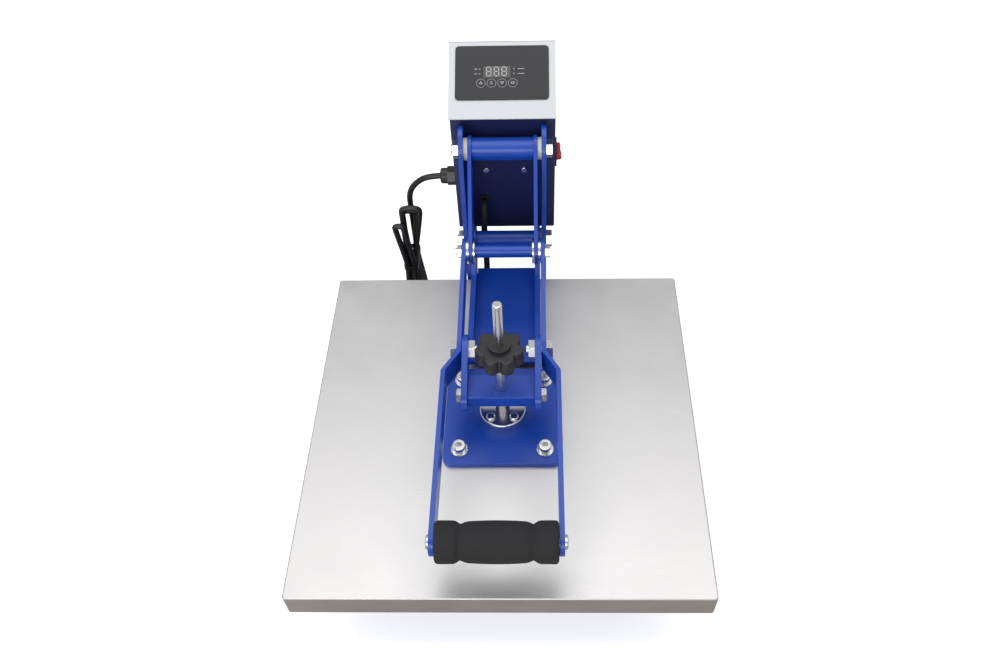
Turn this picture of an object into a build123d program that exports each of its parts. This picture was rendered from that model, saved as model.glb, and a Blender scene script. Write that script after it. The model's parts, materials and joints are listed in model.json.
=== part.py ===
"""Flat clamshell heat press with a toggle handle, built in millimetres.

+Z is up, +Y points to the rear and the operator stands at -Y. The origin is on
the table, under the middle of the press without its mains cord.
"""
import os
from math import atan2, cos, degrees, pi, radians, sin, sqrt, tan

from build123d import *

# Overall layout
PLATEN_SIDE = 390.0          # outside of the upper platen's cover, square
REAR_OVERHANG = 124.0        # from the cover's back edge to the rear of the housing
DEPTH = PLATEN_SIDE + REAR_OVERHANG
REAR_Y = DEPTH / 2
BACK_EDGE_Y = REAR_Y - REAR_OVERHANG
PLATEN_Y = BACK_EDGE_Y - PLATEN_SIDE / 2

# Stack of the press, from the table up
FOOT_H = 12.0
FOOT_R = 15.0
BAR_H = 20.0
BAR_DEPTH = 40.0
BAR_WALL = 2.5
RAIL_H = 22.0
BED_PLATE_T = 4.0
LOWER_PLATEN_T = 12.0
PAD_T = 7.7
PRESS_GAP = 0.3              # between the pad and the hot plate when closed
HOT_PLATE_T = 22.0
INSULATION_T = 10.1
STACK_GAP = 0.2
COVER_H = 29.0
COVER_WALL = 1.5
HOT_PLATE_MARGIN = 5.0       # from the cover's outside to the hot plate's edge
BED_MARGIN = 13.0            # from the cover's outside to the lower platen's edge

FOOT_TOP = FOOT_H
BAR_TOP = FOOT_TOP + BAR_H
RAIL_TOP = BAR_TOP + RAIL_H
BED_TOP = RAIL_TOP + BED_PLATE_T
LOWER_TOP = BED_TOP + LOWER_PLATEN_T
PAD_TOP = LOWER_TOP + PAD_T
HOT_BOTTOM = PAD_TOP + PRESS_GAP
HOT_TOP = HOT_BOTTOM + HOT_PLATE_T
INSULATION_BOTTOM = HOT_TOP + STACK_GAP
INSULATION_TOP = INSULATION_BOTTOM + INSULATION_T
COVER_TOP = INSULATION_TOP + STACK_GAP + COVER_WALL
PLATE_SIDE = PLATEN_SIDE - 2 * HOT_PLATE_MARGIN
BED_SIDE = PLATEN_SIDE - 2 * BED_MARGIN

# Base
FRONT_BAR_Y = PLATEN_Y - 128.0
FRONT_BAR_L = 300.0
REAR_BAR_Y = BACK_EDGE_Y + 17.0
REAR_BAR_L = 200.0
FOOT_INSET = 18.0
BED_PLATE_W = 130.0
BED_PLATE_L = 220.0
BED_SCREW_R = 3.0
BED_SCREW_HEAD_R = 5.5
BED_SCREW_HEAD_T = 3.5
BED_SCREW_L = 10.0
BED_SCREW_X = 56.0
BED_SCREW_PITCH = 180.0

# Side plates of the upright
UPRIGHT_HALF = 46.0          # centre plane to the outside of a side plate
SIDE_T = 5.0
SIDE_INNER = UPRIGHT_HALF - SIDE_T
RAIL_FRONT_Y = FRONT_BAR_Y - 15.0
UPRIGHT_FRONT_Y = BACK_EDGE_Y + 5.0
UPRIGHT_REAR_Y = BACK_EDGE_Y + 56.0
UPRIGHT_TOP = COVER_TOP + 186.0

# Pivots of the toggle, as (y, z)
TOP_PIVOT = (BACK_EDGE_Y + 36.0, COVER_TOP + 162.0)      # links on the upright
ARM_PIVOT = (BACK_EDGE_Y + 16.0, COVER_TOP + 50.0)       # arm on the upright
TOGGLE_PIVOT = (BACK_EDGE_Y - 38.0, COVER_TOP + 84.0)    # links on the lever, handle down
LEVER_PIVOT = (PLATEN_Y + 37.0, COVER_TOP + 66.0)        # lever on the arm
RUN = 0.08                   # radial clearance of a shaft that turns
SCREW_FIT = 0.06             # radial clearance of a fixed screw in its hole

# Links
LINK_T = 4.0
LINK_INNER = 32.5
LINK_OUTER = LINK_INNER + LINK_T
LINK_END_R = 14.5
LINK_TUBE_R = 12.0
TOGGLE_SLACK_R = 11.4        # hole at the opened pivot
# Arm
ARM_T = 6.0
ARM_INNER = 33.0
ARM_OUTER = ARM_INNER + ARM_T
ARM_TUBE_R = 9.0
ARM_EYE_R = 16.0
ARM_BEAM_R = 9.0
ARM_BEAM_Z = COVER_TOP + 16.0
ARM_BEAM_REAR_Y = BACK_EDGE_Y - 11.0
ARM_BEAM_FRONT_Y = PLATEN_Y + 68.0
ARM_EAR_R = 15.0
ARM_NOSE_R = 12.0
ARM_NOSE_REACH = 10.0
WEB_T = 4.0
WEB_REAR_Y = BACK_EDGE_Y + 7.0
WEB_FRONT_Y = PLATEN_Y + 64.0
WEB_BOTTOM = ARM_BEAM_Z - ARM_BEAM_R

# Lever and grip
LEVER_T = 4.5
LEVER_GAP = 0.5
LEVER_INNER = ARM_OUTER + LEVER_GAP
LEVER_REAR_R = 14.0
LEVER_MID_R = 14.0
LEVER_FRONT_R = 12.0
LEVER_SPREAD = 13.9          # each bar steps out by this much
LEVER_BEND_REAR_Y = PLATEN_Y + 25.0
LEVER_BEND_FRONT_Y = PLATEN_Y + 2.0
GRIP_AXIS = (PLATEN_Y - 171.0, COVER_TOP + 63.0)
GRIP_END_GAP = 0.4
GRIP_ROD_R = 5.0
GRIP_FLANGE_R = 18.3
GRIP_NECK_R = 14.8
GRIP_BODY_R = 17.4
GRIP_CROWN_R = 18.0
GRIP_FLANGE_L = 21.5
TOGGLE_TUBE_R = 7.0
TOGGLE_WASHER_R = 13.4
TOGGLE_WASHER_T = 2.4
TOGGLE_TUBE_GAP = 2.0        # room for the inner washer, beside the link

# Fasteners: shaft radius, half width across flats, head height
M10_R, M10_HEX, M10_HEAD = 5.0, 8.5, 6.4
M8_R, M8_HEX, M8_HEAD = 4.0, 6.5, 5.3
HEX_TIP = 2 / sqrt(3)
NUT_GAP = 0.05

# Pressure screw and the things it carries
BLOCK_DEPTH = 29.0
BLOCK_BOTTOM = COVER_TOP + 40.0
BLOCK_TOP = BLOCK_BOTTOM + 15.0
BLOCK_BOLT_Y = -6.0          # from the screw's axis
SCREW_R = 7.0
SCREW_SHOULDER_Z = BLOCK_TOP + 44.0
SCREW_ROD_R = 4.5
SCREW_TOP = SCREW_SHOULDER_Z + 77.0
SCREW_PITCH = 2.0
KNOB_R = 23.3
KNOB_CORE_R = 18.2
KNOB_LOBES = 7
KNOB_LOBE_R = 7.0
KNOB_T = 18.0
KNOB_HUB_R = 11.0
KNOB_HUB_T = 4.0
BRACKET_SIDE = 118.0
BRACKET_T = 6.0
BRACKET_CORNER_R = 9.0
BRACKET_SCREW_PITCH = 85.0
BRACKET_SCREW_DEPTH = 34.0
CAP_HEAD_R = 6.5
CAP_HEAD_T = 8.0
WASHER_R = 8.5
WASHER_T = 1.6
CUP_R = 23.3
CUP_T = 12.0
CUP_POCKET = 9.0
CUP_SCREW_PCD = 33.0
CUP_SCREW_R = 3.0
CUP_SCREW_HEAD_R = 4.6
CUP_SCREW_HEAD_T = 2.6

# Housing and control box on top of the upright
HOUSING_HALF = 56.0
SHEET = 1.5
HOUSING_FRONT_Y = REAR_Y - 67.0
HOUSING_BOTTOM = COVER_TOP + 30.0
HOUSING_TOP = HOUSING_BOTTOM + 163.0
FACE_RISE = 45.0
FACE_RUN = 79.0
BOX_TOP = HOUSING_TOP + FACE_RISE
BOX_FRONT_Y = REAR_Y - FACE_RUN
FACE_LENGTH = sqrt(FACE_RISE ** 2 + FACE_RUN ** 2)
FACE_SLOPE = degrees(atan2(FACE_RISE, FACE_RUN))
PANEL_W = 98.0
PANEL_H = 60.0
PANEL_T = 1.6
PANEL_CORNER_R = 4.0
PANEL_DROP = 39.5            # from the face's upper edge to the panel's centre
DISPLAY_W, DISPLAY_H = 28.0, 13.4
DISPLAY_X = -5.3
DISPLAY_DROP = 38.5
BUTTON_R = 4.1
BUTTON_PITCH = 11.1
BUTTON_DROP = 51.3
BUTTON_FIRST_X = -22.0
BUTTON_T = 1.2
BUTTON_TRAVEL = 0.6
BUTTON_PROUD = 0.5
BUTTON_GAP = 0.25
LIGHT_R = 0.9
LIGHT_DROP = 35.6
LIGHT_PITCH = 5.4
LIGHT_LEFT_X = -23.2
LIGHT_RIGHT_X = 12.4
BUTTONS = ("button_up", "button_mode", "button_down", "button_set")

ROCKER_YZ = (REAR_Y - 49.0, HOUSING_TOP - 67.0)
ROCKER_W, ROCKER_H = 14.0, 21.0
ROCKER_FRAME_T = 2.0
ROCKER_FRAME_RIM = 2.5
ROCKER_BODY_DEPTH = 16.0
ROCKER_KEY_R = 11.5
ROCKER_KEY_GAP = 0.4
ROCKER_AXLE_DEPTH = 3.0
ROCKER_SWING = 14.0

# Mains cord: gland, free stretch, hank and plug
GLAND_YZ = (REAR_Y - 49.0, HOUSING_TOP - 100.0)
GLAND_NUT_R = 11.0
GLAND_DOME_R = 9.0
GLAND_L = 18.0
CORD_R = 3.5
HANK_X = -HOUSING_HALF - 64.0              # the hank's axis at the tie
HANK_Y = REAR_Y - 52.0
HANK_Z = 76.0
HANK_LAYERS = 5
HANK_LAYER = 8.0             # from one layer of the hank to the next
HANK_TURN_R = 9.5
HANK_WAIST = 4.3             # across, from the axis to a strand at the tie
HANK_FLOOR_GAP = 0.4
HANK_ENTRY = 48.0            # the free stretch joins this far above the tie
HANK_TOPS = (                # of each top turn: height, across, radius
    (62.0, 2.0, 8.5),
    (70.0, 5.0, 9.0),
    (79.0, 7.5, 10.5),
    (63.0, -7.5, 5.0),
)
TIE_T = 0.8
TIE_W = 7.0
TIE_GAP = 0.1
PLUG_L = 38.0
PLUG_R = 9.5
PLUG_TAIL = 26.0
PIN_R = 2.4
PIN_L = 19.0
PIN_PITCH = 19.0

# Heater lead from the housing to the back of the cover
LEAD_R = 3.5
LEAD_X = -24.0
LEAD_EXIT_Z = HOUSING_BOTTOM + 44.0
LEAD_ENTRY_Z = COVER_TOP - 14.0
LEAD_BUSH_R = 6.0
LEAD_BUSH_T = 2.5


def block(x0, x1, y0, y1, z0, z1):
    """A box between two corners."""
    return Pos((x0 + x1) / 2, (y0 + y1) / 2, (z0 + z1) / 2) * Box(x1 - x0, y1 - y0, z1 - z0)


def round_x(r, x0, x1, yz):
    """A cylinder along X."""
    return Pos((x0 + x1) / 2, *yz) * Rot(0, 90, 0) * Cylinder(r, x1 - x0)


def round_z(r, z0, z1, xy):
    """A cylinder along Z."""
    return Pos(*xy, (z0 + z1) / 2) * Cylinder(r, z1 - z0)


def hex_x(half_flats, x0, x1, yz):
    """A hexagonal prism along X."""
    outline = Plane.YZ.offset(x0) * (Pos(*yz) * RegularPolygon(half_flats * HEX_TIP, 6))
    return extrude(outline, amount=x1 - x0)


def bar(*discs):
    """A flat outline through discs, each ((y, z), r), as strips between neighbours."""
    strips = []
    for (a, ra), (b, rb) in zip(discs, discs[1:]):
        ends = [Pos(*a) * Circle(ra), Pos(*b) * Circle(rb)]
        strips.append(make_hull([e for c in ends for e in c.edges()]))
    outline = strips[0]
    for strip in strips[1:]:
        outline += strip
    return outline


def plate_x(outline, x0, x1):
    """An outline in (y, z) made into a plate from x0 to x1."""
    return extrude(Plane.YZ.offset(x0) * outline, amount=x1 - x0)


def both(make):
    """The same piece on the left and on the right, as (left, right)."""
    right = make()
    return mirror(right, about=Plane.YZ), right


def group(*solids):
    """Separate solids under one node."""
    return Compound(children=list(solids))


def nut(r, half_flats, x0, x1, yz):
    """A hexagonal nut along X."""
    return hex_x(half_flats, x0, x1, yz) - round_x(r + NUT_GAP, x0 - 1, x1 + 1, yz)


def through_bolt(r, half_flats, head, reach, yz):
    """A bolt through the press from left to right, with its nut on the left."""
    tail = reach + head + 2.0
    bolt = round_x(r, -tail, reach, yz) + hex_x(half_flats, reach, reach + head, yz)
    return group(bolt, nut(r, half_flats, -reach - head, -reach, yz))


parts = {}


def base():
    """Feet, cross bars, side plates and the bed that they carry."""
    feet = []
    for y, length in ((FRONT_BAR_Y, FRONT_BAR_L), (REAR_BAR_Y, REAR_BAR_L)):
        for side in (-1, 1):
            foot = round_z(FOOT_R, 0, FOOT_H, (side * (length / 2 - FOOT_INSET), y))
            feet.append(fillet(foot.edges().group_by(Axis.Z)[0], 2.0))
    parts["rubber_feet"] = group(*feet)
    bars = []
    for y, length in ((FRONT_BAR_Y, FRONT_BAR_L), (REAR_BAR_Y, REAR_BAR_L)):
        tube = block(-length / 2, length / 2, y - BAR_DEPTH / 2, y + BAR_DEPTH / 2, FOOT_TOP, BAR_TOP)
        tube = fillet(tube.edges().filter_by(Axis.X), 3.0)
        tube -= block(
            -length / 2 + BAR_WALL, length / 2 - BAR_WALL,
            y - BAR_DEPTH / 2 + BAR_WALL, y + BAR_DEPTH / 2 - BAR_WALL,
            FOOT_TOP + BAR_WALL, BAR_TOP - BAR_WALL,
        )
        bars.append(tube)
    parts["cross_bars"] = group(*bars)

    def side_plate():
        post = block(SIDE_INNER, UPRIGHT_HALF, UPRIGHT_FRONT_Y, UPRIGHT_REAR_Y, BAR_TOP, ARM_PIVOT[1])
        neck = bar(
            (ARM_PIVOT, ARM_EYE_R),
            ((UPRIGHT_REAR_Y - ARM_EYE_R, ARM_PIVOT[1]), ARM_EYE_R),
            ((UPRIGHT_REAR_Y - ARM_EYE_R, UPRIGHT_TOP - ARM_EYE_R), ARM_EYE_R),
            (TOP_PIVOT, ARM_EYE_R + 2),
        )
        upper = bar((TOP_PIVOT, ARM_EYE_R + 2), (ARM_PIVOT, ARM_EYE_R))
        plate = post + plate_x(neck, SIDE_INNER, UPRIGHT_HALF)
        plate += plate_x(upper, SIDE_INNER, UPRIGHT_HALF)
        for pivot in (TOP_PIVOT, ARM_PIVOT):
            plate -= round_x(M10_R + SCREW_FIT, 0, UPRIGHT_HALF + 1, pivot)
        return plate

    parts["side_plate_left"], parts["side_plate_right"] = both(side_plate)
    parts["bed_rails"] = group(*both(
        lambda: block(SIDE_INNER, UPRIGHT_HALF, RAIL_FRONT_Y, UPRIGHT_FRONT_Y, BAR_TOP, RAIL_TOP)
    ))
    bed = block(
        -BED_PLATE_W / 2, BED_PLATE_W / 2,
        PLATEN_Y - BED_PLATE_L / 2, PLATEN_Y + BED_PLATE_L / 2, RAIL_TOP, BED_TOP,
    )
    bed = fillet(bed.edges().filter_by(Axis.Z), 6.0)
    lower = block(
        -BED_SIDE / 2, BED_SIDE / 2,
        PLATEN_Y - BED_SIDE / 2, PLATEN_Y + BED_SIDE / 2, BED_TOP, LOWER_TOP,
    )
    lower = fillet(lower.edges().filter_by(Axis.Z), 6.0)
    screws = []
    for x in (-BED_SCREW_X, BED_SCREW_X):
        for y in (PLATEN_Y - BED_SCREW_PITCH / 2, PLATEN_Y + BED_SCREW_PITCH / 2):
            bed -= round_z(BED_SCREW_R + SCREW_FIT, RAIL_TOP - 1, BED_TOP + 1, (x, y))
            lower -= round_z(BED_SCREW_R + SCREW_FIT, BED_TOP - 1, RAIL_TOP + BED_SCREW_L + 1, (x, y))
            screw = round_z(BED_SCREW_R, RAIL_TOP, RAIL_TOP + BED_SCREW_L, (x, y))
            screws.append(screw + round_z(BED_SCREW_HEAD_R, RAIL_TOP - BED_SCREW_HEAD_T, RAIL_TOP, (x, y)))
    parts["bed_plate"] = bed
    parts["lower_platen"] = lower
    parts["bed_screws"] = group(*screws)
    pad = block(
        -BED_SIDE / 2, BED_SIDE / 2,
        PLATEN_Y - BED_SIDE / 2, PLATEN_Y + BED_SIDE / 2, LOWER_TOP, PAD_TOP,
    )
    parts["silicone_pad"] = fillet(pad.edges().filter_by(Axis.Z), 6.0)


def upper_platen():
    """Hot plate, its insulation and cover, and the bracket and cup on top."""
    half = PLATEN_SIDE / 2
    cover = block(-half, half, PLATEN_Y - half, PLATEN_Y + half, COVER_TOP - COVER_H, COVER_TOP)
    cover = fillet(cover.edges().filter_by(Axis.Z), 3.0)
    cover = fillet(cover.edges().group_by(Axis.Z)[-1], 1.4)
    inner = half - COVER_WALL
    cover -= block(
        -inner, inner, PLATEN_Y - inner, PLATEN_Y + inner,
        COVER_TOP - COVER_H - 1, COVER_TOP - COVER_WALL,
    )
    plate_half = PLATE_SIDE / 2
    hot = block(-plate_half, plate_half, PLATEN_Y - plate_half, PLATEN_Y + plate_half, HOT_BOTTOM, HOT_TOP)
    hot = fillet(hot.edges().filter_by(Axis.Z), 5.0)
    hot = chamfer(hot.edges().group_by(Axis.Z)[0], 2.0)
    wool_half = plate_half - 2
    wool = block(
        -wool_half, wool_half, PLATEN_Y - wool_half, PLATEN_Y + wool_half,
        INSULATION_BOTTOM, INSULATION_TOP,
    )
    side = BRACKET_SIDE / 2
    bracket_top = COVER_TOP + BRACKET_T
    bracket = block(-side, side, PLATEN_Y - side, PLATEN_Y + side, COVER_TOP, bracket_top)
    bracket = fillet(bracket.edges().filter_by(Axis.Z), BRACKET_CORNER_R)
    bracket = fillet(bracket.edges().group_by(Axis.Z)[-1], 1.0)
    screws = []
    reach = bracket_top + WASHER_T
    for x in (-BRACKET_SCREW_PITCH / 2, BRACKET_SCREW_PITCH / 2):
        for dy in (-BRACKET_SCREW_PITCH / 2, BRACKET_SCREW_PITCH / 2):
            at = (x, PLATEN_Y + dy)
            hole = round_z(M8_R + SCREW_FIT, reach - BRACKET_SCREW_DEPTH - 1, reach + 1, at)
            cover, hot, wool, bracket = cover - hole, hot - hole, wool - hole, bracket - hole
            washer = round_z(WASHER_R, bracket_top, reach, at) - round_z(
                M8_R + SCREW_FIT, bracket_top - 1, reach + 1, at
            )
            shank = round_z(M8_R, reach - BRACKET_SCREW_DEPTH, reach, at)
            head = round_z(CAP_HEAD_R, reach, reach + CAP_HEAD_T, at)
            head = fillet(head.edges().group_by(Axis.Z)[-1], 0.8)
            key = Plane.XY.offset(reach + CAP_HEAD_T) * (Pos(*at) * RegularPolygon(3.4, 6))
            screws += [shank + head - extrude(key, amount=-4.0), washer]
    cup_top = bracket_top + CUP_T
    axis = (0, PLATEN_Y)
    cup = round_z(CUP_R, bracket_top, cup_top, axis)
    cup = fillet(cup.edges().group_by(Axis.Z)[-1], 1.5)
    cup -= round_z(SCREW_R + RUN, cup_top - CUP_POCKET, cup_top + 1, axis)
    cup_screws = []
    for i in range(4):
        turn = pi / 4 + i * pi / 2
        at = (CUP_SCREW_PCD / 2 * cos(turn), PLATEN_Y + CUP_SCREW_PCD / 2 * sin(turn))
        hole = round_z(CUP_SCREW_R + SCREW_FIT, COVER_TOP - 0.01, cup_top + 1, at)
        cup, bracket = cup - hole, bracket - hole
        head = round_z(CUP_SCREW_HEAD_R, cup_top, cup_top + CUP_SCREW_HEAD_T, at)
        head = fillet(head.edges().group_by(Axis.Z)[-1], 1.6)
        cup_screws.append(head + round_z(CUP_SCREW_R, COVER_TOP, cup_top, at))
    entry = (LEAD_X, LEAD_ENTRY_Z)
    cover -= Pos(entry[0], BACK_EDGE_Y, entry[1]) * Rot(90, 0, 0) * Cylinder(LEAD_BUSH_R, 4 * COVER_WALL)
    parts["platen_cover"] = cover
    parts["heating_plate"] = hot
    parts["insulation_blanket"] = wool
    parts["platen_bracket"] = bracket
    parts["platen_screws"] = group(*screws, *cup_screws)
    parts["thrust_cup"] = cup


def pressure_screw():
    """The screw with its star knob."""
    axis = (0, PLATEN_Y)
    foot = COVER_TOP + BRACKET_T + CUP_T - CUP_POCKET + 0.2
    screw = round_z(SCREW_R, foot, SCREW_SHOULDER_Z, axis)
    screw = chamfer(screw.edges().group_by(Axis.Z)[0], 1.0)
    rod = round_z(SCREW_ROD_R, SCREW_SHOULDER_Z, SCREW_TOP, axis)
    rod = fillet(rod.edges().group_by(Axis.Z)[-1], 1.2)
    parts["pressure_screw"] = screw + rod
    outline = Circle(KNOB_CORE_R)
    for i in range(KNOB_LOBES):
        turn = 2 * pi * i / KNOB_LOBES + pi / 2
        reach = KNOB_R - KNOB_LOBE_R
        outline += Pos(reach * cos(turn), reach * sin(turn)) * Circle(KNOB_LOBE_R)
    knob = extrude(Plane.XY.offset(SCREW_SHOULDER_Z) * (Pos(*axis) * outline), amount=KNOB_T)
    knob = fillet(knob.edges().filter_by(Axis.Z), 1.5)
    knob = fillet(knob.edges().group_by(Axis.Z)[-1], 2.5)
    knob = fillet(knob.edges().group_by(Axis.Z)[0], 1.5)
    top = SCREW_SHOULDER_Z + KNOB_T
    knob += round_z(KNOB_HUB_R, top, top + KNOB_HUB_T, axis)
    knob -= round_z(SCREW_ROD_R + SCREW_FIT, SCREW_SHOULDER_Z - 1, top + KNOB_HUB_T + 1, axis)
    parts["star_knob"] = knob


def arm():
    """The arm's plates, web and tube, the cross block and their bolts."""
    nose = (PLATEN_Y - ARM_NOSE_REACH, (BLOCK_BOTTOM + BLOCK_TOP) / 2)
    outline = bar(
        (ARM_PIVOT, ARM_EYE_R),
        ((ARM_BEAM_REAR_Y, ARM_BEAM_Z), ARM_BEAM_R),
        ((ARM_BEAM_FRONT_Y, ARM_BEAM_Z), ARM_BEAM_R),
        (LEVER_PIVOT, ARM_EAR_R),
        (nose, ARM_NOSE_R),
    )
    bolt_at = (PLATEN_Y + BLOCK_BOLT_Y, (BLOCK_BOTTOM + BLOCK_TOP) / 2)

    def arm_plate():
        plate = plate_x(outline, ARM_INNER, ARM_OUTER)
        plate -= round_x(M10_R + RUN, ARM_INNER - 1, ARM_OUTER + 1, ARM_PIVOT)
        plate -= round_x(M10_R + SCREW_FIT, ARM_INNER - 1, ARM_OUTER + 1, LEVER_PIVOT)
        return plate - round_x(M8_R + SCREW_FIT, ARM_INNER - 1, ARM_OUTER + 1, bolt_at)

    parts["arm_left"], parts["arm_right"] = both(arm_plate)
    web = block(-ARM_INNER, ARM_INNER, WEB_FRONT_Y, WEB_REAR_Y, WEB_BOTTOM, WEB_BOTTOM + WEB_T)
    parts["arm_web"] = web
    tube = round_x(ARM_TUBE_R, -ARM_INNER, ARM_INNER, ARM_PIVOT)
    parts["arm_pivot_tube"] = tube - round_x(M10_R + RUN, -ARM_OUTER, ARM_OUTER, ARM_PIVOT)
    front = PLATEN_Y - BLOCK_DEPTH / 2
    cross = block(-ARM_INNER, ARM_INNER, front, front + BLOCK_DEPTH, BLOCK_BOTTOM, BLOCK_TOP)
    cross = fillet(cross.edges().filter_by(Axis.X), 1.0)
    cross -= round_z(SCREW_R + RUN, BLOCK_BOTTOM - 1, BLOCK_TOP + 1, (0, PLATEN_Y))
    bolt_depth = 16.0

    def block_bolt():
        shank = round_x(M8_R, ARM_INNER - bolt_depth, ARM_OUTER, bolt_at)
        return shank + hex_x(M8_HEX, ARM_OUTER, ARM_OUTER + M8_HEAD, bolt_at)

    for side in (-1, 1):
        inner, outer = sorted((side * (ARM_INNER - bolt_depth - 1), side * (ARM_INNER + 1)))
        cross -= round_x(M8_R + SCREW_FIT, inner, outer, bolt_at)
    parts["cross_block"] = cross
    parts["cross_block_bolts"] = group(*both(block_bolt))

    def lever_bolt():
        outer = LEVER_INNER + LEVER_T + LEVER_GAP
        inner = ARM_INNER - M10_HEAD
        shank = round_x(M10_R, inner - 2.0, outer, LEVER_PIVOT)
        return shank + hex_x(M10_HEX, outer, outer + M10_HEAD, LEVER_PIVOT)

    def lever_nut():
        return nut(M10_R, M10_HEX, ARM_INNER - M10_HEAD, ARM_INNER, LEVER_PIVOT)

    parts["lever_pivot_bolts"] = group(*both(lever_bolt), *both(lever_nut))


def links():
    """The two links and the tube that joins them at the top pivot."""

    def link():
        plate = plate_x(bar((TOP_PIVOT, LINK_END_R), (TOGGLE_PIVOT, LINK_END_R)), LINK_INNER, LINK_OUTER)
        plate -= round_x(M10_R + RUN, LINK_INNER - 1, LINK_OUTER + 1, TOP_PIVOT)
        return plate - round_x(TOGGLE_SLACK_R, LINK_INNER - 1, LINK_OUTER + 1, TOGGLE_PIVOT)

    parts["link_left"], parts["link_right"] = both(link)
    tube = round_x(LINK_TUBE_R, -LINK_INNER, LINK_INNER, TOP_PIVOT)
    parts["link_tube"] = tube - round_x(M10_R + RUN, -LINK_OUTER, LINK_OUTER, TOP_PIVOT)


def lever():
    """The two bent bars of the lever, the toggle tube and bolt, and the grip."""
    side_view = bar(
        (TOGGLE_PIVOT, LEVER_REAR_R), (LEVER_PIVOT, LEVER_MID_R), (GRIP_AXIS, LEVER_FRONT_R)
    )
    rear_end = TOGGLE_PIVOT[0] + LEVER_REAR_R + 1
    front_end = GRIP_AXIS[0] - LEVER_FRONT_R - 1
    front_inner = LEVER_INNER + LEVER_SPREAD

    def lever_bar():
        inner = [
            (LEVER_INNER, rear_end), (LEVER_INNER, LEVER_BEND_REAR_Y),
            (front_inner, LEVER_BEND_FRONT_Y), (front_inner, front_end),
        ]
        outer = [(x + LEVER_T, y) for x, y in reversed(inner)]
        strip = make_face(Polyline(*inner, *outer, close=True))
        bends = strip.vertices().filter_by_position(Axis.Y, LEVER_BEND_FRONT_Y - 1, LEVER_BEND_REAR_Y + 1)
        strip = fillet(bends, 5.0)
        thick = extrude(strip, amount=GRIP_AXIS[1] + 100)
        plate = plate_x(side_view, LEVER_INNER - 1, front_inner + LEVER_T + 1) & thick
        plate -= round_x(M10_R + RUN, LEVER_INNER - 1, LEVER_INNER + LEVER_T + 1, LEVER_PIVOT)
        plate -= round_x(M8_R + SCREW_FIT, LEVER_INNER - 1, LEVER_INNER + LEVER_T + 1, TOGGLE_PIVOT)
        return plate - round_x(GRIP_ROD_R + SCREW_FIT, front_inner - 1, front_inner + LEVER_T + 1, GRIP_AXIS)

    parts["lever_left"], parts["lever_right"] = both(lever_bar)
    tube_half = LINK_INNER - TOGGLE_TUBE_GAP
    tube = round_x(TOGGLE_TUBE_R, -tube_half, tube_half, TOGGLE_PIVOT)
    parts["toggle_tube"] = tube - round_x(M8_R + SCREW_FIT, -ARM_OUTER, ARM_OUTER, TOGGLE_PIVOT)
    parts["toggle_bolt"] = through_bolt(M8_R, M8_HEX, M8_HEAD, LEVER_INNER + LEVER_T, TOGGLE_PIVOT)

    def washers():
        outer = round_x(TOGGLE_WASHER_R, LINK_OUTER + 0.3, LEVER_INNER, TOGGLE_PIVOT)
        inner = round_x(TOGGLE_WASHER_R, tube_half, LINK_INNER - 0.3, TOGGLE_PIVOT)
        hole = round_x(M8_R + SCREW_FIT, 0, LEVER_INNER + 1, TOGGLE_PIVOT)
        return group(outer - hole, inner - hole)

    left, right = both(washers)
    parts["toggle_washers"] = group(*left.solids(), *right.solids())
    rod_half = front_inner + LEVER_T
    rod = round_x(GRIP_ROD_R, -rod_half, rod_half, GRIP_AXIS)

    def cap():
        return round_x(M8_HEX, rod_half, rod_half + 3.0, GRIP_AXIS)

    caps = both(lambda: fillet(cap().edges().sort_by(Axis.X)[-1:], 1.4))
    parts["grip_rod"] = group(rod, *caps)
    half = front_inner - GRIP_END_GAP
    neck = half - GRIP_FLANGE_L
    profile = [
        (0, GRIP_CROWN_R), (neck * 0.55, GRIP_BODY_R), (neck - 5.0, GRIP_BODY_R - 0.6),
        (neck, GRIP_NECK_R), (neck + 4.0, GRIP_FLANGE_R), (half, GRIP_FLANGE_R),
    ]
    upper = [(x, r) for x, r in reversed(profile)]
    mirrored = [(-x, r) for x, r in profile[1:]]
    rim = upper + mirrored
    outline = make_face(Polyline(*rim, (-half, GRIP_ROD_R + SCREW_FIT), (half, GRIP_ROD_R + SCREW_FIT), close=True))
    corners = outline.vertices().filter_by(lambda v: v.Y > GRIP_ROD_R + 1 and abs(v.X) > 1)
    outline = fillet(corners, 1.9)
    grip = revolve(outline, Axis.X)
    parts["hand_grip"] = Pos(0, *GRIP_AXIS) * grip


def pivots():
    """The bolts and nylon spacers that hold the links and the arm to the upright."""
    bolts = [through_bolt(M10_R, M10_HEX, M10_HEAD, UPRIGHT_HALF, at) for at in (TOP_PIVOT, ARM_PIVOT)]
    parts["pivot_bolts"] = group(*(solid for bolt in bolts for solid in bolt.solids()))
    spacers = []
    for pivot, inner, r in ((TOP_PIVOT, LINK_OUTER, LINK_TUBE_R), (ARM_PIVOT, ARM_OUTER, LINK_TUBE_R)):
        for side in (-1, 1):
            x0, x1 = sorted((side * (inner + 0.1), side * (SIDE_INNER - 0.02)))
            spacers.append(round_x(r, x0, x1, pivot) - round_x(M10_R + SCREW_FIT, x0 - 1, x1 + 1, pivot))
    parts["pivot_spacers"] = group(*spacers)


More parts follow.
